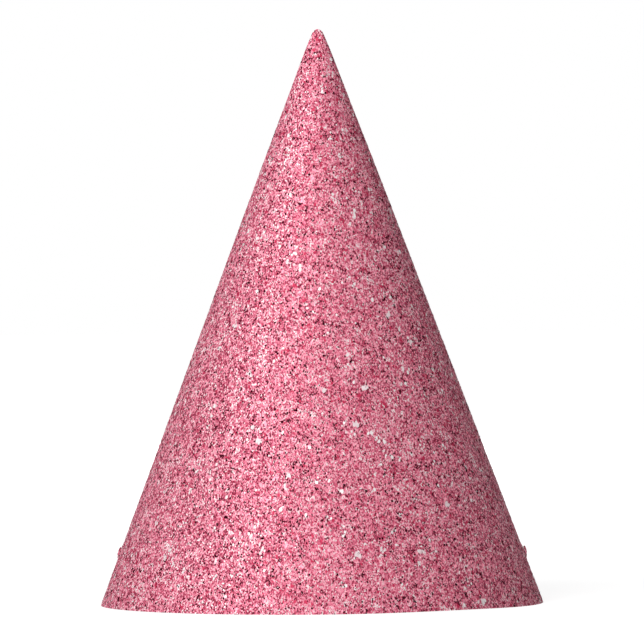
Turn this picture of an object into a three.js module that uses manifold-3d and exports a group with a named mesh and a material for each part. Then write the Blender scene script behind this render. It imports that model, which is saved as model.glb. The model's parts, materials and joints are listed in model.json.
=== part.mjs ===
// A party hat of glitter-faced card, rolled into a cone.
//
// A flat sector of white board carries a glitter film on one face. It is rolled up so that one straight edge laps
// over the other at the back, and a strip of double-sided tape holds the lap shut. A U-shaped knife cut through
// both layers on each side leaves a tongue, which bends outwards about its root to hook the end of a chin elastic.
//
// Millimetres and degrees, +Z up to the tip. The rim stands on z = 0 with its centre at the origin, the lap is at
// +Y, and the two tongues are at +X and -X.

import * as THREE from 'three';
import { mergeVertices } from 'three/addons/utils/BufferGeometryUtils.js';
import Module from 'manifold-3d';

// The cone, measured over the glitter.
const RIM_RADIUS = 63.5;
const TIP_RADIUS = 1.77;
const HEIGHT = 164.4;

// The two layers of the card and the hairline between them, measured square to the card.
const FILM = 0.12;
const LAMINATION = 0.03;
const BOARD = 0.32;

// The rolled card is built on straight lines from rim to tip, this many degrees apart.
const STEP = 3.6;
const ROWS = 6;

// The lap: where its visible edge is, how wide it is, and the stretch over which the other end dips under it.
const LAP_START = 23 * STEP;
const LAP_STEPS = 4;
const DIP_STEPS = 16;
const TURN_STEPS = 360 / STEP;

// The tape inside the lap, with the hairline of adhesive on each of its faces.
const TAPE = 0.12;
const ADHESIVE = 0.05;
const TAPE_WIDTH = 4;
const TAPE_LOW = 6;
const TAPE_HIGH = 110;
const TAPE_ROWS = 8;

// The tongues: the height of each one's root, their size on the card, the knife's clearance round them, and how
// far each has sprung out from the card.
const LEFT_ROOT_HEIGHT = 13.1;
const RIGHT_ROOT_HEIGHT = 12.6;
const TONGUE_WIDTH = 6;
const TONGUE_LENGTH = 3.6;
const TONGUE_CORNER = 1.5;
const KNIFE = 0.15;
const ROOT_GAP = 0.08;
const LEFT_BEND = 10;
const RIGHT_BEND = 13;

const SLOPE = (RIM_RADIUS - TIP_RADIUS) / HEIGHT;
const HALF_ANGLE = Math.atan(SLOPE);
const CARD = FILM + LAMINATION + BOARD;
const TUCK = CARD + ADHESIVE + TAPE + ADHESIVE;
const UP = new THREE.Vector3(0, 0, 1);

const glitterPink = new THREE.MeshStandardMaterial({ color: 0xe0849b, roughness: 0.45, metalness: 0.1 });
const whiteBoard = new THREE.MeshStandardMaterial({ color: 0xf3efe9, roughness: 0.85, metalness: 0 });
const clearTape = new THREE.MeshStandardMaterial({ color: 0xe9e4d6, roughness: 0.35, metalness: 0 });

/** The point at an angle and a height, so far below the glitter face (square to the card). */
function onCone(degrees, height, depth) {
  const radius = RIM_RADIUS - height * SLOPE - depth / Math.cos(HALF_ANGLE);
  const angle = THREE.MathUtils.degToRad(degrees);
  return [radius * Math.cos(angle), radius * Math.sin(angle), height];
}

/**
 * A closed thin solid between two grids of points, outer(i, j) and inner(i, j). i runs anticlockwise round the
 * hat and j upwards. The same diagonal splits every quad, so that stacked sheets stay parallel.
 */
function thinSolid(columns, rows, outer, inner) {
  const positions = [];
  const index = [];
  for (const face of [outer, inner]) {
    for (let i = 0; i <= columns; i += 1) {
      for (let j = 0; j <= rows; j += 1) {
        positions.push(...face(i, j));
      }
    }
  }
  const out = (i, j) => i * (rows + 1) + j;
  const back = (i, j) => (columns + 1 + i) * (rows + 1) + j;
  const quad = (a, b, c, d) => index.push(a, b, c, a, c, d);
  for (let i = 0; i < columns; i += 1) {
    for (let j = 0; j < rows; j += 1) {
      quad(out(i, j), out(i + 1, j), out(i + 1, j + 1), out(i, j + 1));
      quad(back(i, j), back(i, j + 1), back(i + 1, j + 1), back(i + 1, j));
    }
    quad(back(i, 0), back(i + 1, 0), out(i + 1, 0), out(i, 0));
    quad(out(i, rows), out(i + 1, rows), back(i + 1, rows), back(i, rows));
  }
  for (let j = 0; j < rows; j += 1) {
    quad(out(0, j), out(0, j + 1), back(0, j + 1), back(0, j));
    quad(out(columns, j), back(columns, j), back(columns, j + 1), out(columns, j + 1));
  }
  const geometry = new THREE.BufferGeometry();
  geometry.setAttribute('position', new THREE.Float32BufferAttribute(positions, 3));
  geometry.setIndex(index);
  return geometry;
}

/** How deep the rolled card lies at a step: 0 all the way round, then smoothly down to run under the lap. */
function rollDepth(step) {
  return TUCK * THREE.MathUtils.smoothstep(step, TURN_STEPS - DIP_STEPS, TURN_STEPS);
}

/** One layer of the rolled card, from its top face to its bottom face, as depths below the glitter. */
function rolledLayer(top, bottom) {
  const face = (depth) => (i, j) =>
    onCone(LAP_START + i * STEP, (j * HEIGHT) / ROWS, rollDepth(i) + depth);
  return thinSolid(TURN_STEPS + LAP_STEPS, ROWS, face(top), face(bottom));
}

/** The strip of tape up the middle of the lap. Its width stays the same as the cone narrows. */
function tapeStrip() {
  const middle = LAP_START + (LAP_STEPS * STEP) / 2;
  const face = (depth) => (i, j) => {
    const height = THREE.MathUtils.lerp(TAPE_LOW, TAPE_HIGH, j / TAPE_ROWS);
    const radius = RIM_RADIUS - height * SLOPE;
    const across = TAPE_WIDTH * (i / 2 - 0.5);
    return onCone(middle + THREE.MathUtils.radToDeg(across / radius), height, depth);
  };
  return thinSolid(2, TAPE_ROWS, face(CARD + ADHESIVE), face(CARD + ADHESIVE + TAPE));
}

/** A tongue's outline in the card's plane: root on y = 0, corners rounded at its free end, grown by a clearance. */
function tongueOutline(clearance, rootGap) {
  const half = TONGUE_WIDTH / 2 + clearance;
  const end = TONGUE_LENGTH + clearance;
  const corner = TONGUE_CORNER + clearance;
  const shape = new THREE.Shape();
  shape.moveTo(-half, -rootGap);
  shape.lineTo(half, -rootGap);
  shape.absarc(half - corner, end - corner, corner, 0, Math.PI / 2);
  shape.absarc(corner - half, end - corner, corner, Math.PI / 2, Math.PI);
  shape.closePath();
  return shape;
}

/** A tongue's root at an angle and a height, and the card's directions there: along the root, up, and out. */
function tongueRoot(degrees, rootHeight) {
  const angle = THREE.MathUtils.degToRad(degrees);
  const radial = new THREE.Vector3(Math.cos(angle), Math.sin(angle), 0);
  const along = new THREE.Vector3().crossVectors(UP, radial);
  const out = new THREE.Vector3()
    .addScaledVector(radial, Math.cos(HALF_ANGLE))
    .addScaledVector(UP, Math.sin(HALF_ANGLE));
  const upCard = new THREE.Vector3().crossVectors(out, along);
  const root = new THREE.Vector3(...onCone(degrees, rootHeight, 0));
  return { root, along, upCard, out };
}

/** A block with the outline of a tongue, standing through the card at an angle and a root height. */
function tongueBlock({ degrees, rootHeight }, clearance, rootGap) {
  const reach = 2;
  const block = new THREE.ExtrudeGeometry(tongueOutline(clearance, rootGap), {
    depth: 2 * reach,
    bevelEnabled: false,
    curveSegments: 5,
  });
  const { root, along, upCard, out } = tongueRoot(degrees, rootHeight);
  block.translate(0, 0, -reach);
  block.applyMatrix4(new THREE.Matrix4().makeBasis(along, upCard, out));
  block.translate(root.x, root.y, root.z);
  return block;
}

const manifold = await Module();
manifold.setup();

/** A closed geometry as a solid that can be cut. */
function toSolid(geometry) {
  const bare = geometry.clone();
  bare.deleteAttribute('normal');
  bare.deleteAttribute('uv');
  const merged = mergeVertices(bare, 1e-5);
  return new manifold.Manifold(
    new manifold.Mesh({
      numProp: 3,
      vertProperties: merged.attributes.position.array,
      triVerts: new Uint32Array(merged.index.array),
    }),
  );
}

/** A cut solid as a geometry. */
function toGeometry(solid) {
  const { vertProperties, triVerts } = solid.getMesh();
  const geometry = new THREE.BufferGeometry();
  geometry.setAttribute('position', new THREE.BufferAttribute(vertProperties, 3));
  geometry.setIndex(new THREE.BufferAttribute(triVerts, 1));
  return geometry;
}

const tongues = [
  { side: 'left', degrees: 180, rootHeight: LEFT_ROOT_HEIGHT, bend: LEFT_BEND },
  { side: 'right', degrees: 0, rootHeight: RIGHT_ROOT_HEIGHT, bend: RIGHT_BEND },
];
const layers = [
  { name: 'board', hatName: 'hat_board', top: FILM + LAMINATION, bottom: CARD, material: whiteBoard },
  { name: 'film', hatName: 'glitter_film', top: 0, bottom: FILM, material: glitterPink },
];

const hat = new THREE.Group();

// A hinge at each tongue's root, turned outwards by the tongue's bend.
for (const tongue of tongues) {
  const { root, along } = tongueRoot(tongue.degrees, tongue.rootHeight);
  tongue.root = root;
  tongue.hinge = new THREE.Group();
  tongue.hinge.position.copy(root);
  tongue.hinge.quaternion.setFromAxisAngle(along, THREE.MathUtils.degToRad(tongue.bend));
  hat.add(tongue.hinge);
}

// Each layer is rolled whole. The tongues are cut from it, and their windows are cut out of it.
for (const layer of layers) {
  const sheet = toSolid(rolledLayer(layer.top, layer.bottom));
  let rest = sheet;
  for (const tongue of tongues) {
    const piece = toGeometry(sheet.intersect(toSolid(tongueBlock(tongue, 0, 0))));
    piece.translate(-tongue.root.x, -tongue.root.y, -tongue.root.z);
    const mesh = new THREE.Mesh(piece, layer.material);
    mesh.name = `${tongue.side}_tongue_${layer.name}`;
    tongue.hinge.add(mesh);
    rest = rest.subtract(toSolid(tongueBlock(tongue, KNIFE, ROOT_GAP)));
  }
  const mesh = new THREE.Mesh(toGeometry(rest), layer.material);
  mesh.name = layer.hatName;
  hat.add(mesh);
}

const seamTape = new THREE.Mesh(tapeStrip(), clearTape);
seamTape.name = 'seam_tape';
hat.add(seamTape);

export default hat;
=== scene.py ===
"""A party hat of pink glitter card: a cone rolled from one flat sector, taped up the back, with a punched
tongue on each side near the rim. Metres, +Z up, the lap at +Y, the tongues at +X and -X."""

import json
import math

import bpy
import numpy as np
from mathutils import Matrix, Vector


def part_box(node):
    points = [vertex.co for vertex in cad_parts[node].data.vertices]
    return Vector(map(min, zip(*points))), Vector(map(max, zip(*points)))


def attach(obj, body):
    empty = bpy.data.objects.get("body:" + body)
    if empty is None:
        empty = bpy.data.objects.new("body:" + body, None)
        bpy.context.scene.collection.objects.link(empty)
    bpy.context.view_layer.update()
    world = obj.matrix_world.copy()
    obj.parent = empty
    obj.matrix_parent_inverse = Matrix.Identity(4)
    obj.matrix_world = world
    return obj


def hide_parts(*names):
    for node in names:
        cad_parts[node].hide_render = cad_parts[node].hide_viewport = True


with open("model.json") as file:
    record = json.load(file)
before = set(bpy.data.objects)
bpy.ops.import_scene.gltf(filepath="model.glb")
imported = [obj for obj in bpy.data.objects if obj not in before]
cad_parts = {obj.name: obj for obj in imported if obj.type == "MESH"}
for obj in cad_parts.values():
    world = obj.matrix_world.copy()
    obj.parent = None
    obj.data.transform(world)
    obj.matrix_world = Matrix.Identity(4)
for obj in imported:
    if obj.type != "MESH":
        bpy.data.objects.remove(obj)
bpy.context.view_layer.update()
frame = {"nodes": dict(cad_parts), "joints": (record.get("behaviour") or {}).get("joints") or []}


# -------------------------------------------------------------------------------------------------------
# The board: one die-cut sector of white pulp board, rolled into a cone so that its outer end laps over its
# inner end at the back. Bare white board shows on the inside, at the rim and tip, and along the lap's cut
# edge.
# -------------------------------------------------------------------------------------------------------

rim_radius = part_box("glitter_film")[1].x
hat_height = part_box("glitter_film")[1].z
tip_radius = 0.00177
slope = (rim_radius - tip_radius) / hat_height
half_angle = math.atan(slope)

# Depths below the glitter face, square to the card: the board's two faces, and how far the inner end is
# tucked in to run under the outer one.
board_top = 0.00015
card_thickness = 0.00047
lap_room = 0.00022
tuck = card_thickness + lap_room

# Angles round the hat, from +X: its front, the outer end's cut edge, how far the ends overlap, how far the
# step down before the overlap is spread, and the step between grid lines.
one_turn = 2 * math.pi
front = 1.5 * math.pi
lap_start = math.radians(82.8)
lap_angle = math.radians(14.4)
dip_angle = math.radians(57.6)
line_step = math.radians(0.9)


def smooth(x):
    """0 up to x = 0, 1 from x = 1, and 3 x squared - 2 x cubed between."""
    x = np.clip(x, 0, 1)
    return x * x * (3 - 2 * x)


def roll_depth(angle):
    """How deep the rolled card lies: 0 all round, then a smooth step down by the tuck, to run under the
    outer end."""
    return tuck * smooth((angle - lap_start - one_turn + dip_angle) / dip_angle)


def lap_lift(angle, height):
    """How far the outer end stands off at its cut edge, where no tape reaches: a smooth curl of 0.35 mm at
    the rim, gone 14 mm up, and one of 0.15 mm that starts 40 mm below the tip and is full 30 mm higher,
    both fading out across the lap."""
    rim_curl, rim_reach = 0.00035, 0.014
    tip_curl, tip_reach, tip_growth = 0.00015, 0.04, 0.03
    free = smooth(1 - (angle - lap_start) / lap_angle)
    at_rim = rim_curl * smooth(1 - height / rim_reach)
    at_tip = tip_curl * smooth((height - hat_height + tip_reach) / tip_growth)
    return free * (at_rim + at_tip)


def tip_edge(angle):
    """The height of the tip's edge, a nearly straight snip across the flat blank: 0.7 mm below the hat's
    height + 1.2 mm x cos(angle from the front)."""
    drop, slant = 0.0007, 0.0012
    return hat_height - drop + slant * np.cos(angle - front)


def rim_edge(angle):
    """The height of the rim's edge, which the knife cut a little high to the right of the front: 0.34 mm x
    exp(-((angle - middle) / 23 degrees) squared), with the middle 38 degrees from the front."""
    highest, spread = 0.00034, math.radians(23)
    middle = front + math.radians(38)
    return highest * np.exp(-(((angle - middle) / spread) ** 2))


def tip_draw(height):
    """How far the card is drawn in where it was rolled tightest: 0.2 mm that starts 52 mm below the tip and
    is full 40 mm higher, and another 0.2 mm over the last 7 mm."""
    long_draw = 0.0002 * smooth((height - hat_height + 0.052) / 0.04)
    last_draw = 0.0002 * smooth((height - hat_height + 0.007) / 0.007)
    return long_draw + last_draw


def on_card(angle, height, depth):
    """The point of the card at an angle and a height, so far below its glitter face (square to the card):
    radius = rim radius - height x slope - (depth + roll depth + tip draw - lift) / cos(half angle)."""
    below = (depth + roll_depth(angle) + tip_draw(height) - lap_lift(angle, height)) / math.cos(half_angle)
    radius = rim_radius - height * slope - below
    return np.stack([radius * np.cos(angle), radius * np.sin(angle), height + 0 * angle], axis=-1)


# The knife's cut round each tongue, in the card's own plane: straight up from the root, where the tongue
# hinges, to a free end with rounded corners. The card's window is larger by the knife's clearance.
tongue_sides = {"left": math.pi, "right": 0.0}
root_heights = {joint["child"].split("_")[0]: joint["pos_m"][2] for joint in frame["joints"]}
tongue_half, tongue_length, tongue_corner = 0.003, 0.0036, 0.0015
knife_clearance = 0.00013
root_gap = 0.00008


def window_swell(angle, height):
    """How far pulling a tongue has drawn out the card round its window: 0.46 mm x exp(-(distance across /
    6.5 mm) squared - (distance up / 1.7 mm) squared), from 0.55 of the way up the tongue."""
    highest, wide, tall = 0.00046, 0.0065, 0.0017
    swell = 0
    for side, middle in tongue_sides.items():
        across = rim_radius * ((angle - middle + math.pi) % one_turn - math.pi)
        up = height - root_heights[side] - 0.55 * tongue_length
        swell = swell + highest * np.exp(-((across / wide) ** 2) - (up / tall) ** 2)
    return swell


def sheet_grid(angles, rows, depth):
    """A grid of points on the rolled card: the given angles across, and so many rows between rim and tip,
    height = (1 - part) x rim edge + part x tip edge."""
    part = np.linspace(0, 1, rows + 1)
    angle = np.repeat(angles[:, None], rows + 1, axis=1)
    height = (1 - part) * rim_edge(angle) + part * tip_edge(angle)
    return on_card(angle, height, depth - window_swell(angle, height))


def thin_solid(outer, inner):
    """Points and faces of a closed thin solid between two grids (round the hat, then upwards). The inner
    grid may be coarser: each of its border edges then meets a whole run of outer ones in one face."""
    out = np.arange(outer[..., 0].size).reshape(outer.shape[:2])
    back = out.size + np.arange(inner[..., 0].size).reshape(inner.shape[:2])

    def quads(ids):
        return np.stack([ids[:-1, :-1], ids[1:, :-1], ids[1:, 1:], ids[:-1, 1:]], axis=-1).reshape(-1, 4)

    faces = quads(out).tolist() + quads(back)[:, ::-1].tolist()
    borders = [
        (out[:, 0], back[:, 0]),
        (out[-1, :], back[-1, :]),
        (out[::-1, -1], back[::-1, -1]),
        (out[0, ::-1], back[0, ::-1]),
    ]
    for fine, coarse in borders:
        run = (len(fine) - 1) // (len(coarse) - 1)
        starts = np.arange(len(coarse) - 1)[:, None] * run
        runs = fine[starts + np.arange(run, -1, -1)]
        faces += np.hstack([coarse[:-1, None], coarse[1:, None], runs]).tolist()
    return np.concatenate([outer.reshape(-1, 3), inner.reshape(-1, 3)]), faces


def new_piece(name, points, faces, body=None):
    """A mesh object with its place in its points, riding on a body if one is given."""
    mesh = bpy.data.meshes.new(name)
    mesh.from_pydata(points.tolist(), [], faces)
    mesh.update()
    piece = bpy.data.objects.new(name, mesh)
    bpy.context.scene.collection.objects.link(piece)
    if body:
        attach(piece, body)
    return piece


def carve(piece, block, operation):
    """Cuts the block out of the piece (DIFFERENCE) or keeps only what is inside it (INTERSECT)."""
    knife = piece.modifiers.new("knife", "BOOLEAN")
    knife.object, knife.operation, knife.solver = block, operation, "EXACT"
    graph = bpy.context.evaluated_depsgraph_get()
    cut = bpy.data.meshes.new_from_object(piece.evaluated_get(graph))
    piece.modifiers.clear()
    piece.data = cut
    bpy.data.objects.remove(block)


def card_axes(angle):
    """The card's directions at an angle: round the hat, up the card, and out of its face."""
    radial = np.array([math.cos(angle), math.sin(angle), 0])
    around = np.array([-math.sin(angle), math.cos(angle), 0])
    upright = np.array([0, 0, 1])
    up_card = math.cos(half_angle) * upright - math.sin(half_angle) * radial
    out = math.cos(half_angle) * radial + math.sin(half_angle) * upright
    return around, up_card, out


def tongue_root(side):
    """The middle of a tongue's root, on the card's glitter face."""
    return on_card(tongue_sides[side], root_heights[side], 0)


def tongue_block(side, clearance, below):
    """A block standing through the card with a tongue's outline: straight sides up from the root, then a
    quarter arc at each corner of the free end. It is grown by the clearance, and reaches so far below the
    root."""
    half, end, corner = tongue_half + clearance, tongue_length + clearance, tongue_corner + clearance
    reach = 0.002
    turn = np.linspace(0, math.pi / 2, 13)
    arc = np.stack([half - corner + corner * np.cos(turn), end - corner + corner * np.sin(turn)], axis=1)
    outline = np.concatenate([[[half, -below]], arc, arc[::-1] * [-1, 1], [[-half, -below]]])
    around, up_card, out = card_axes(tongue_sides[side])
    flat = tongue_root(side) + outline[:, :1] * around + outline[:, 1:] * up_card
    n = len(outline)
    ring = np.arange(n)
    sides = np.stack([ring, np.roll(ring, -1), np.roll(ring, -1) + n, ring + n], axis=1)
    faces = [ring[::-1].tolist(), (ring + n).tolist(), *sides.tolist()]
    return new_piece("knife_block", np.concatenate([flat - reach * out, flat + reach * out]), faces)


def linear(hex_colour):
    """A colour written as sRGB hex, as the linear values that shaders take: each of red, green and blue,
    from 0 to 1, is divided by 12.92 if it is 0.04045 or less, and else is ((value + 0.055) / 1.055) to the
    power 2.4."""
    srgb = np.array([int(hex_colour[k : k + 2], 16) for k in (1, 3, 5)]) / 255
    values = np.where(srgb <= 0.04045, srgb / 12.92, ((srgb + 0.055) / 1.055) ** 2.4)
    return (*values.tolist(), 1.0)


def add_node(tree, kind, inputs=None, stops=(), **settings):
    """Adds a shader node with its settings, and a colour ramp's stops as (place, hex colour). An input that
    is given a socket is linked, and any other value is set."""
    node = tree.nodes.new(kind)
    for key, value in settings.items():
        setattr(node, key, value)
    for key, value in (inputs or {}).items():
        if isinstance(value, bpy.types.NodeSocket):
            tree.links.new(value, node.inputs[key])
        else:
            node.inputs[key].default_value = value
    for _ in stops[2:]:
        node.color_ramp.elements.new(1.0)
    for k, (place, colour) in enumerate(stops):
        node.color_ramp.elements[k].position = place
        node.color_ramp.elements[k].color = linear(colour)
    return node


def new_material(name):
    """An empty node material: the material, its tree and its Principled shader."""
    material = bpy.data.materials.new(name)
    material.use_nodes = True
    shader = next(n for n in material.node_tree.nodes if n.type == "BSDF_PRINCIPLED")
    return material, material.node_tree, shader


def white_pulp_board():
    """Uncoated bleached board: dull warm white, with a cloudiness about 6 mm wide that the eye only just
    sees, and the fine tooth of pressed pulp."""
    cloud_size, fibre_size = 0.006, 0.0004
    material, tree, shader = new_material("white_pulp_board")
    place = add_node(tree, "ShaderNodeTexCoord").outputs["Object"]
    cloud = add_node(tree, "ShaderNodeTexNoise", {"Vector": place, "Scale": 1 / cloud_size, "Detail": 3.0})
    colour = add_node(
        tree,
        "ShaderNodeValToRGB",
        {"Fac": cloud.outputs["Fac"]},
        stops=[(0.3, "#ECE8E1"), (0.7, "#F8F5F0")],
    )
    tree.links.new(colour.outputs["Color"], shader.inputs["Base Color"])
    fibre = add_node(tree, "ShaderNodeTexNoise", {"Vector": place, "Scale": 1 / fibre_size, "Detail": 4.0})
    tooth = add_node(
        tree, "ShaderNodeBump", {"Height": fibre.outputs["Fac"], "Strength": 0.35, "Distance": 0.00003}
    )
    tree.links.new(tooth.outputs["Normal"], shader.inputs["Normal"])
    shader.inputs["Roughness"].default_value = 0.85
    return material


board_material = white_pulp_board()
card_angles = np.arange(0, one_turn + lap_angle + line_step / 2, line_step) + lap_start
board_rows = 30

board = new_piece(
    "rolled_board",
    *thin_solid(
        sheet_grid(card_angles, board_rows, board_top),
        sheet_grid(card_angles, board_rows, card_thickness),
    ),
    body="hat",
)
for side in tongue_sides:
    carve(board, tongue_block(side, knife_clearance, root_gap), "DIFFERENCE")
board.data.materials.append(board_material)
board.data.shade_smooth()
board.data.set_sharp_from_angle(angle=math.radians(30))
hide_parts("hat_board")


# -------------------------------------------------------------------------------------------------------
# The glitter film: polyester film closely strewn with pink glitter and lacquered over, laminated on the
# board. It covers the whole outside, ends flush with the board at every cut, and has the grain of the
# glitter under it.
# -------------------------------------------------------------------------------------------------------


def laminated_glitter():
    """Lacquered glitter: every flake is one flat tone at its own tilt, from maroon through rose to nearly
    white, and darker next to its edges with painted shade. The eye gets a close grain with painted shade in
    the pits between flakes, a few white glints, and faint drifts of tone. Real flakes are 0.2 to 0.5 mm
    across, and are drawn about as large as that."""
    flake_across, flake_deep, flake_along = 0.00027, 0.00046, 0.00043
    material, tree, shader = new_material("laminated_pink_glitter")
    place = add_node(tree, "ShaderNodeTexCoord").outputs["Object"]
    per_metre = (1 / flake_across, 1 / flake_deep, 1 / flake_along)
    cells = add_node(tree, "ShaderNodeVectorMath", {0: place, 1: per_metre}, operation="MULTIPLY")
    cells = cells.outputs["Vector"]
    flake = add_node(tree, "ShaderNodeTexVoronoi", {"Vector": cells, "Scale": 1.0})
    # The distance to each flake's edge, which places the painted shade in the pits between flakes.
    painted_pit_edge = add_node(
        tree, "ShaderNodeTexVoronoi", {"Vector": cells, "Scale": 1.0}, feature="DISTANCE_TO_EDGE"
    )
    chance = add_node(tree, "ShaderNodeSeparateColor", {"Color": flake.outputs["Color"]})

    # The tone of each flake is shifted by drifts about 6 mm wide, and by a cube of finer noise, which
    # leaves most of the face alone and gathers pale and deep flakes into odd clumps 1 to 2 mm wide.
    drift_size, clump_size = 0.006, 0.0018
    drift = add_node(tree, "ShaderNodeTexNoise", {"Vector": place, "Scale": 1 / drift_size, "Detail": 2.0})
    clump = add_node(tree, "ShaderNodeTexNoise", {"Vector": place, "Scale": 1 / clump_size, "Detail": 1.0})
    tone = chance.outputs["Red"]
    for noise, power, most in ((drift, 1.0, 0.08), (clump, 3.0, 0.42)):
        swing = add_node(
            tree,
            "ShaderNodeMapRange",
            {"Value": noise.outputs["Fac"], "From Min": 0.25, "From Max": 0.75, "To Min": -1.0},
        )
        swing = add_node(tree, "ShaderNodeMath", {0: swing.outputs["Result"], 1: power}, operation="POWER")
        shifted = add_node(
            tree, "ShaderNodeMath", {0: swing.outputs[0], 1: most, 2: tone}, operation="MULTIPLY_ADD"
        )
        tone = shifted.outputs[0]
    colour = add_node(
        tree,
        "ShaderNodeValToRGB",
        {"Fac": tone},
        stops=[
            (0.00, "#3A0312"),
            (0.08, "#821C38"),
            (0.20, "#B53F5D"),
            (0.42, "#DA6A84"),
            (0.64, "#F48DA5"),
            (0.84, "#FFB0C1"),
            (0.95, "#FFD6DD"),
            (1.00, "#FFEFF0"),
        ],
    )

    # Next to its edges a flake is darker, down to 0.55 of its tone: painted shade in the pit between it and
    # the next.
    painted_pit_shade = add_node(
        tree,
        "ShaderNodeMapRange",
        {"Value": painted_pit_edge.outputs["Distance"], "From Max": 0.10, "To Min": 0.55, "To Max": 1.0},
    )
    # A Mix node's colours are its inputs 6 and 7 and its output 2.
    shaded = add_node(
        tree,
        "ShaderNodeMix",
        {6: colour.outputs["Color"], 7: painted_pit_shade.outputs["Result"], "Factor": 1.0},
        data_type="RGBA",
        blend_type="MULTIPLY",
    )
    tree.links.new(shaded.outputs[2], shader.inputs["Base Color"])

    # The tilt of each flake: the face's normal + 0.5 x (the cell's random colour - a middle grey).
    middle_grey = (0.5, 0.5, 0.5)
    lean = add_node(
        tree, "ShaderNodeVectorMath", {0: flake.outputs["Color"], 1: middle_grey}, operation="SUBTRACT"
    )
    lean = add_node(
        tree, "ShaderNodeVectorMath", {0: lean.outputs["Vector"], "Scale": 0.5}, operation="SCALE"
    )
    facing = add_node(tree, "ShaderNodeNewGeometry").outputs["Normal"]
    tilted = add_node(tree, "ShaderNodeVectorMath", {0: facing, 1: lean.outputs["Vector"]}, operation="ADD")
    unit = add_node(tree, "ShaderNodeVectorMath", {0: tilted.outputs["Vector"]}, operation="NORMALIZE")
    tree.links.new(unit.outputs["Vector"], shader.inputs["Normal"])

    gloss = add_node(
        tree, "ShaderNodeMapRange", {"Value": chance.outputs["Green"], "To Min": 0.45, "To Max": 0.75}
    )
    tree.links.new(gloss.outputs["Result"], shader.inputs["Roughness"])
    shader.inputs["Specular IOR Level"].default_value = 0.12
    shader.inputs["Metallic"].default_value = 0.18
    return material


glitter_material = laminated_glitter()

# The grain: every point of the outer face stands in or out by up to 0.035 mm, none at the cut edges. The
# film's underside stands 0.01 mm clear of the board's face.
grain = np.random.default_rng(5)
grain_height = 0.000035
film_rows, film_rows_under = 150, 30
hairline = 0.00001
film_out = sheet_grid(card_angles, film_rows, 0.0)
bumps = grain.uniform(-grain_height, grain_height, film_out.shape[:2])
bumps[[0, -1], :] = 0
bumps[:, [0, -1]] = 0
radial = film_out * [1, 1, 0] / np.linalg.norm(film_out[..., :2], axis=-1, keepdims=True)
film_out = film_out + bumps[..., None] * radial

film = new_piece(
    "glitter_face",
    *thin_solid(film_out, sheet_grid(card_angles, film_rows_under, board_top - hairline)),
    body="hat",
)
for side in tongue_sides:
    carve(film, tongue_block(side, knife_clearance, root_gap), "DIFFERENCE")
film.data.materials.append(glitter_material)
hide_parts("glitter_film")


# -------------------------------------------------------------------------------------------------------
# Surface flakes: the top layer of glitter, hexagons stamped from coloured foil, each leaning its own way
# in the lacquer. Each is one flat hexagon with its underside drawn down to a point inside the film.
# -------------------------------------------------------------------------------------------------------


def foil(name, colour, shine, metal):
    """Stamped and lacquered glitter foil: a flake is one colour all over, with a soft gloss."""
    material, _, shader = new_material(name)
    shader.inputs["Base Color"].default_value = linear(colour)
    shader.inputs["Roughness"].default_value = 0.5
    shader.inputs["Specular IOR Level"].default_value = shine
    shader.inputs["Metallic"].default_value = metal
    return material


# Each kind: its foil, how many flakes, how many lie together in a group, and its smallest and largest
# radius.
flake_kinds = [
    (foil("white_foil", "#F0E5E6", 0.2, 0.18), 1600, 2.6, 0.00017, 0.00052),
    (foil("pale_pink_foil", "#FFA6BA", 0.2, 0.18), 5600, 1.6, 0.00018, 0.00040),
    (foil("rose_foil", "#BC3052", 0.15, 0.18), 4800, 1.6, 0.00018, 0.00042),
    (foil("maroon_foil", "#2C020C", 0.0, 0.05), 7400, 1.25, 0.00018, 0.00031),
    (foil("pearl_foil", "#E6D3D6", 0.15, 0.1), 420, 7.0, 0.00024, 0.00056),
]
flake_stretch = 1.35
flake_sink = 0.00014


def hexagons(centres, normals, radii, spins):
    """Points and faces of leaning hexagons, a third longer up the card than across it. Corner k is the
    centre + radius x (cos, 1.35 sin) of (spin + k x 60 degrees) in the flake's plane, and the underside's
    point is the centre moved back along the normal by the sink."""
    across = np.cross(normals, [0.0, 0.0, 1.0])
    across /= np.linalg.norm(across, axis=1, keepdims=True)
    along = np.cross(across, normals)
    turn = spins[:, None] + np.arange(6) * math.pi / 3
    flat = np.cos(turn)[..., None] * -across[:, None]
    flat = flat + flake_stretch * np.sin(turn)[..., None] * along[:, None]
    corners = centres[:, None] + radii[:, None, None] * flat
    points = np.concatenate([corners, (centres - flake_sink * normals)[:, None]], axis=1).reshape(-1, 3)
    first = np.arange(len(centres))[:, None] * 7
    ring = np.arange(6)
    sides = first[:, None] + np.stack([np.roll(ring, -1), ring, np.full(6, 6)], axis=1)[None]
    return points, (first + ring).tolist() + sides.reshape(-1, 3).tolist()


def flake_piece(name, body, centres, normals, kinds, draw):
    """One object of many flakes, given each one's kind. The radius is smallest + span x (a chance 0 to 1)
    cubed, so most are small."""
    count = len(centres)
    least, most = np.array([kind[3:] for kind in flake_kinds])[kinds].T
    radii = least + (most - least) * draw.uniform(0, 1, count) ** 3
    spins = draw.uniform(0, math.pi / 3, count)
    piece = new_piece(name, *hexagons(centres, normals, radii, spins), body=body)
    for material, *_ in flake_kinds:
        piece.data.materials.append(material)
    piece.data.polygons.foreach_set("material_index", np.concatenate([kinds, np.repeat(kinds, 6)]))
    return piece


def leaning(out, around, most, draw):
    """The face's outward directions, each leaned by a random angle up to the most, in degrees, a random
    way round: out + tan(lean) x (cos(way) x around + sin(way) x the other direction), made one long."""
    other = np.cross(out, around)
    way = draw.uniform(0, one_turn, len(out))[:, None]
    lean = np.tan(draw.uniform(0, math.radians(most), len(out)))[:, None]
    leaned = out + lean * (np.cos(way) * around + np.sin(way) * other)
    return leaned / np.linalg.norm(leaned, axis=1, keepdims=True)


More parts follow.
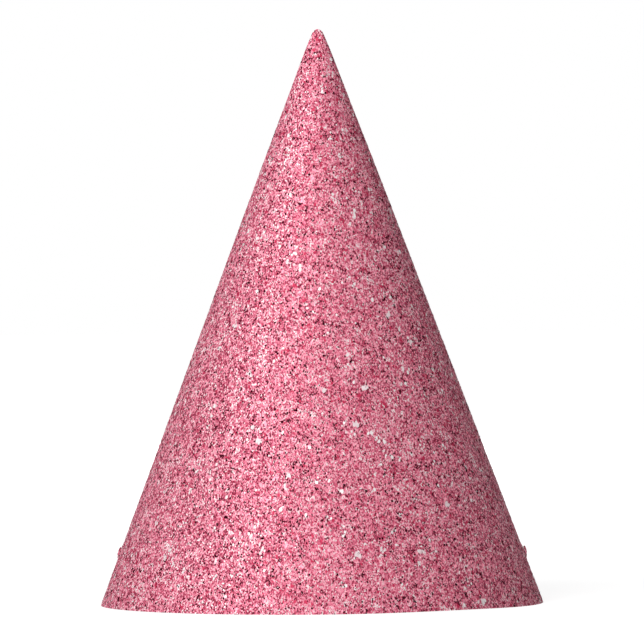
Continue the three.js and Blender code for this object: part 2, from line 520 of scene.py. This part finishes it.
# The flakes lie evenly over the card's area in small groups.
scatter = np.random.default_rng(11)
group_spread = 0.00042
flake_radius, flake_angle, flake_kind = [], [], []
for kind, (_, count, together, _, _) in enumerate(flake_kinds):
    groups = int(count / together)
    middle = np.sqrt(scatter.uniform(tip_radius**2, rim_radius**2, groups))
    turn = scatter.uniform(0, one_turn, groups)
    size = 1 + scatter.poisson(together - 1, groups)
    strays = scatter.normal(0, group_spread, (2, size.sum()))
    flake_radius.append(np.repeat(middle, size) + strays[0] * slope)
    flake_angle.append(lap_start + np.repeat(turn, size) + strays[1] / np.repeat(middle, size))
    flake_kind.append(np.full(size.sum(), kind))
flake_radius, flake_angle = np.concatenate(flake_radius), np.concatenate(flake_angle)
flake_kind = np.concatenate(flake_kind)
flake_height = (rim_radius - flake_radius) / slope

# They are kept clear of the rim, the tip, the lap's cut edge on both its sides, and the tongues' windows.
rim_margin, tip_margin = 0.0008, 0.0025
lap_margin, under_lap_margin = 0.0009, 0.0012
window_margin_across, window_margin_up = 0.0040, 0.0029
clear = (flake_height > rim_margin) & (flake_height < hat_height - tip_margin)
clear &= (flake_angle - lap_start) * flake_radius > lap_margin
clear &= (lap_start + one_turn - flake_angle) * flake_radius > under_lap_margin
for side, angle in tongue_sides.items():
    off = (flake_angle - angle + math.pi) % one_turn - math.pi
    up = flake_height - root_heights[side] - tongue_length / 2
    clear &= (np.abs(off) * flake_radius > window_margin_across) | (np.abs(up) > window_margin_up)
flake_angle, flake_height, flake_kind = flake_angle[clear], flake_height[clear], flake_kind[clear]

around = np.stack([-np.sin(flake_angle), np.cos(flake_angle), 0 * flake_angle], axis=1)
level = np.stack([np.cos(flake_angle), np.sin(flake_angle), 0 * flake_angle], axis=1)
out = math.cos(half_angle) * level + math.sin(half_angle) * np.array([0, 0, 1.0])
least_proud, most_proud = 0.00003, 0.00008
proud = scatter.uniform(least_proud, most_proud, len(flake_angle))
proud = proud + window_swell(flake_angle, flake_height)
most_lean = 12
flake_piece(
    "foil_flakes",
    "hat",
    on_card(flake_angle, flake_height, -proud),
    leaning(out, around, most_lean, scatter),
    flake_kind,
    scatter,
)


# -------------------------------------------------------------------------------------------------------
# The tongues: on each side a U-shaped knife cut leaves a small tongue of the same card, which bends
# outwards at its root and hooks the end of a chin elastic. The knife drags the film down round its cut
# edges, so they are pink as well as its face, and white board shows only on its back.
# -------------------------------------------------------------------------------------------------------

# How steeply each tongue leaves the card at its root, and how steeply its free end stands.
tongue_bends = {
    "left": (math.radians(20), math.radians(-2)),
    "right": (math.radians(23), math.radians(5)),
}


def curled(points, side):
    """Points of the flat card carried onto the pulled-out tongue, and the outward direction at each. A
    point so far up the tongue stands where a walk of that length ends, if its steepness goes smoothly
    from the root's to the free end's between 38 % and 68 % of the tongue's length, and its depth is then
    square to the walk."""
    around, up_card, out = card_axes(tongue_sides[side])
    root = tongue_root(side)
    at_root, at_end = tongue_bends[side]
    lengths = np.linspace(-0.001, 0.006, 701)
    steep = at_root + (at_end - at_root) * smooth((lengths / tongue_length - 0.38) / 0.3)
    stride = lengths[1] - lengths[0]
    walk = np.cumsum(np.stack([np.cos(steep), np.sin(steep)], axis=1) * stride, axis=0)
    walk = walk - walk[np.argmin(np.abs(lengths))]
    arm = points - root
    length = arm @ up_card
    forward = np.interp(length, lengths, walk[:, 0])
    outward = np.interp(length, lengths, walk[:, 1])
    angle = np.interp(length, lengths, steep)
    facing = np.cos(angle)[:, None] * out - np.sin(angle)[:, None] * up_card
    flat = np.outer(arm @ around, around) + np.outer(forward, up_card) + np.outer(outward, out)
    return root + flat + (arm @ out)[:, None] * facing, facing


# The film wraps round the board's edges, which are drawn in by its thickness there, and stops a little
# short of the back. A tongue starts just above the bottom of its window's gap at the root.
film_wrap = 0.00004
bare_edge = 0.00005
tongue_below = root_gap * 0.7
tongue_grain_height = 0.00003

# Each layer is cut from a patch of card a little larger than the tongue: angles on each side of its
# middle, and heights from its root. The core is the space from the board's face backwards, inside the
# wrapped edges: with it cut out, the film's layer is a face with a skirt round it.
patch_angles = np.linspace(-0.08, 0.08, 33)
patch_heights = np.linspace(-0.001, 0.005, 21)
core_depth, core_below = 0.001, 0.0005


def tongue_layer(name, side, outer, inner, drawn_in, core=None):
    """One layer of a tongue: a patch of the rolled card, trimmed to the tongue's outline less what it is
    drawn in by, hollowed by the core if there is one, and curled outwards."""
    piece = new_piece(name, *thin_solid(outer, inner), body=side + "_tongue")
    carve(piece, tongue_block(side, -drawn_in, tongue_below), "INTERSECT")
    if core:
        carve(piece, core, "DIFFERENCE")
    points = np.empty(len(piece.data.vertices) * 3)
    piece.data.vertices.foreach_get("co", points)
    points, _ = curled(points.reshape(-1, 3), side)
    piece.data.vertices.foreach_set("co", points.ravel())
    piece.data.update()
    return piece


# A few surface flakes lie on each tongue, of the first four kinds, because pearl lies only in large groups.
tongue_flake_count, tongue_kind_count = 16, 4
tongue_flake_margin = 0.0006
tongue_flake_proud = 0.00004
tongue_most_lean = 10

for side, angle in tongue_sides.items():
    angle_grid, height_grid = np.meshgrid(
        angle + patch_angles, root_heights[side] + patch_heights, indexing="ij"
    )
    under = on_card(angle_grid, height_grid, board_top)
    core = new_piece("core", *thin_solid(under, on_card(angle_grid, height_grid, core_depth)))
    carve(core, tongue_block(side, -film_wrap, core_below), "INTERSECT")
    face = on_card(angle_grid, height_grid, 0.0)
    bumps = grain.uniform(-tongue_grain_height, tongue_grain_height, angle_grid.shape)
    face = face + bumps[..., None] * card_axes(angle)[2]
    skirt = on_card(angle_grid, height_grid, card_thickness - bare_edge)
    film_layer = tongue_layer(side + "_tongue_face", side, face, skirt, 0.0, core)
    film_layer.data.materials.append(glitter_material)
    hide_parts(side + "_tongue_film")

    back = on_card(angle_grid, height_grid, card_thickness)
    board_layer = tongue_layer(side + "_tongue_back", side, under, back, film_wrap)
    board_layer.data.materials.append(board_material)
    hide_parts(side + "_tongue_board")

    around_here, up_card, out_here = card_axes(angle)
    count = tongue_flake_count
    half, end = tongue_half - tongue_flake_margin, tongue_length - tongue_flake_margin
    across = scatter.uniform(-half, half, count)
    along = scatter.uniform(tongue_flake_margin, end, count)
    spots = tongue_root(side) + np.outer(across, around_here) + np.outer(along, up_card)
    spots, facing = curled(spots + tongue_flake_proud * out_here, side)
    flake_piece(
        side + "_tongue_flakes",
        side + "_tongue",
        spots,
        leaning(facing, np.repeat(around_here[None], count, axis=0), tongue_most_lean, scatter),
        scatter.integers(0, tongue_kind_count, count),
        scatter,
    )


# -------------------------------------------------------------------------------------------------------
# The seam tape: a strip of double-sided tissue tape that holds the lap shut, pressed thin between its two
# layers from a little above the rim to two thirds of the way up. It is the CAD node with a finish.
# -------------------------------------------------------------------------------------------------------


def tissue_tape():
    """Adhesive-soaked tissue: milky, with a faint mottle about 1 mm wide where the adhesive lies thicker,
    and half glossy."""
    mottle_size = 0.0012
    material, tree, shader = new_material("tissue_tape")
    place = add_node(tree, "ShaderNodeTexCoord").outputs["Object"]
    per_metre = 1 / mottle_size
    mottle = add_node(tree, "ShaderNodeTexNoise", {"Vector": place, "Scale": per_metre, "Detail": 3.0})
    colour = add_node(
        tree,
        "ShaderNodeValToRGB",
        {"Fac": mottle.outputs["Fac"]},
        stops=[(0.3, "#DDD6C4"), (0.7, "#EFEADD")],
    )
    tree.links.new(colour.outputs["Color"], shader.inputs["Base Color"])
    shader.inputs["Roughness"].default_value = 0.4
    return material


tape = frame["nodes"]["seam_tape"]
tape.data.materials.clear()
tape.data.materials.append(tissue_tape())


# -------------------------------------------------------------------------------------------------------
# The table and the studio: a white laminate table top lit from within, a large soft key light from the
# front left, a weaker light behind, and a camera level with the middle of the hat.
# -------------------------------------------------------------------------------------------------------


def pale_table():
    """A white laminate top on a light box: even and dull, softly lit from within, so shadows stay faint.
    The glow is turned off in the middle of the top, which the hat covers, as painted shade, so the inside
    of the hat stays dark."""
    material, tree, shader = new_material("pale_table")
    shader.inputs["Base Color"].default_value = linear("#808080")
    shader.inputs["Roughness"].default_value = 0.9
    shader.inputs["Specular IOR Level"].default_value = 0.0
    shader.inputs["Emission Color"].default_value = (1, 1, 1, 1)
    place = add_node(tree, "ShaderNodeTexCoord").outputs["Object"]
    away = add_node(tree, "ShaderNodeVectorMath", {0: place}, operation="LENGTH").outputs["Value"]
    glow = add_node(
        tree,
        "ShaderNodeMapRange",
        {"Value": away, "From Min": 0.10, "From Max": 0.45, "To Min": 0.89, "To Max": 1.01},
    )
    # Painted shade under the hat: no glow within 50 mm of the middle, full glow from 56 mm.
    painted_shade_under_hat = add_node(tree, "ShaderNodeMapRange", {"Value": away, "From Min": 0.050, "From Max": 0.056})
    lit = add_node(
        tree, "ShaderNodeMath", {0: glow.outputs["Result"], 1: painted_shade_under_hat.outputs["Result"]}, operation="MULTIPLY"
    )
    tree.links.new(lit.outputs["Value"], shader.inputs["Emission Strength"])
    return material


table_reach = 40.0
table_drop = 0.00002
corners = np.array([[-1, -1, 0], [1, -1, 0], [1, 1, 0], [-1, 1, 0]]) * table_reach
table = new_piece("table_top", corners - [0, 0, table_drop], [[0, 1, 2, 3]])
table.data.materials.append(pale_table())

# The surroundings are seen as plain white, and light the hat only faintly.
world = bpy.data.worlds.new("studio")
world.use_nodes = True
bpy.context.scene.world = world
sky = world.node_tree
backdrop = next(n for n in sky.nodes if n.type == "BACKGROUND")
backdrop.inputs["Color"].default_value = (1, 1, 1, 1)
backdrop.inputs["Strength"].default_value = 0.02
seen = add_node(sky, "ShaderNodeBackground", {"Color": (1, 1, 1, 1), "Strength": 1.0})
is_seen = add_node(sky, "ShaderNodeLightPath").outputs["Is Camera Ray"]
both = add_node(sky, "ShaderNodeMixShader", {0: is_seen, 1: backdrop.outputs[0], 2: seen.outputs[0]})
sky.links.new(both.outputs[0], next(n for n in sky.nodes if n.type == "OUTPUT_WORLD").inputs["Surface"])

light_distance, light_width = 2.2, 0.9


def soft_light(name, azimuth, elevation, power):
    """A square area light aimed at the hat's middle. Azimuth 0 is the front, and turns towards the left."""
    lamp = bpy.data.lights.new(name, "AREA")
    lamp.shape, lamp.size, lamp.energy = "SQUARE", light_width, power
    light = bpy.data.objects.new(name, lamp)
    bpy.context.scene.collection.objects.link(light)
    a, e = math.radians(azimuth), math.radians(elevation)
    way = np.array([-math.sin(a) * math.cos(e), -math.cos(a) * math.cos(e), math.sin(e)])
    aim = np.array([0, 0, hat_height / 2])
    light.location = aim + light_distance * way
    light.rotation_mode = "QUATERNION"
    light.rotation_quaternion = Vector(-way).to_track_quat("-Z", "Y")


soft_light("key_light", 29, 38, 50)
soft_light("back_light", 180, 12, 24)

# The camera looks level at the middle of the hat from 1.6 m, rolled by under half a degree, so that the
# hat leans that much to the left. The view's width is in metres at the hat, and the sensor's in mm.
eye_aside, eye_height, eye_distance = 0.0006, 0.0808, 1.617
eye_roll = math.radians(0.445)
view_width = 0.1850212
sensor_width = 36
camera_data = bpy.data.cameras.new("camera")
camera_data.sensor_width = sensor_width
camera_data.lens = sensor_width * eye_distance / view_width
camera = bpy.data.objects.new("camera", camera_data)
bpy.context.scene.collection.objects.link(camera)
camera.location = (eye_aside, -eye_distance, eye_height)
camera.rotation_euler = (math.pi / 2, eye_roll, 0)
bpy.context.scene.camera = camera
bpy.context.scene.view_settings.view_transform = "Standard"
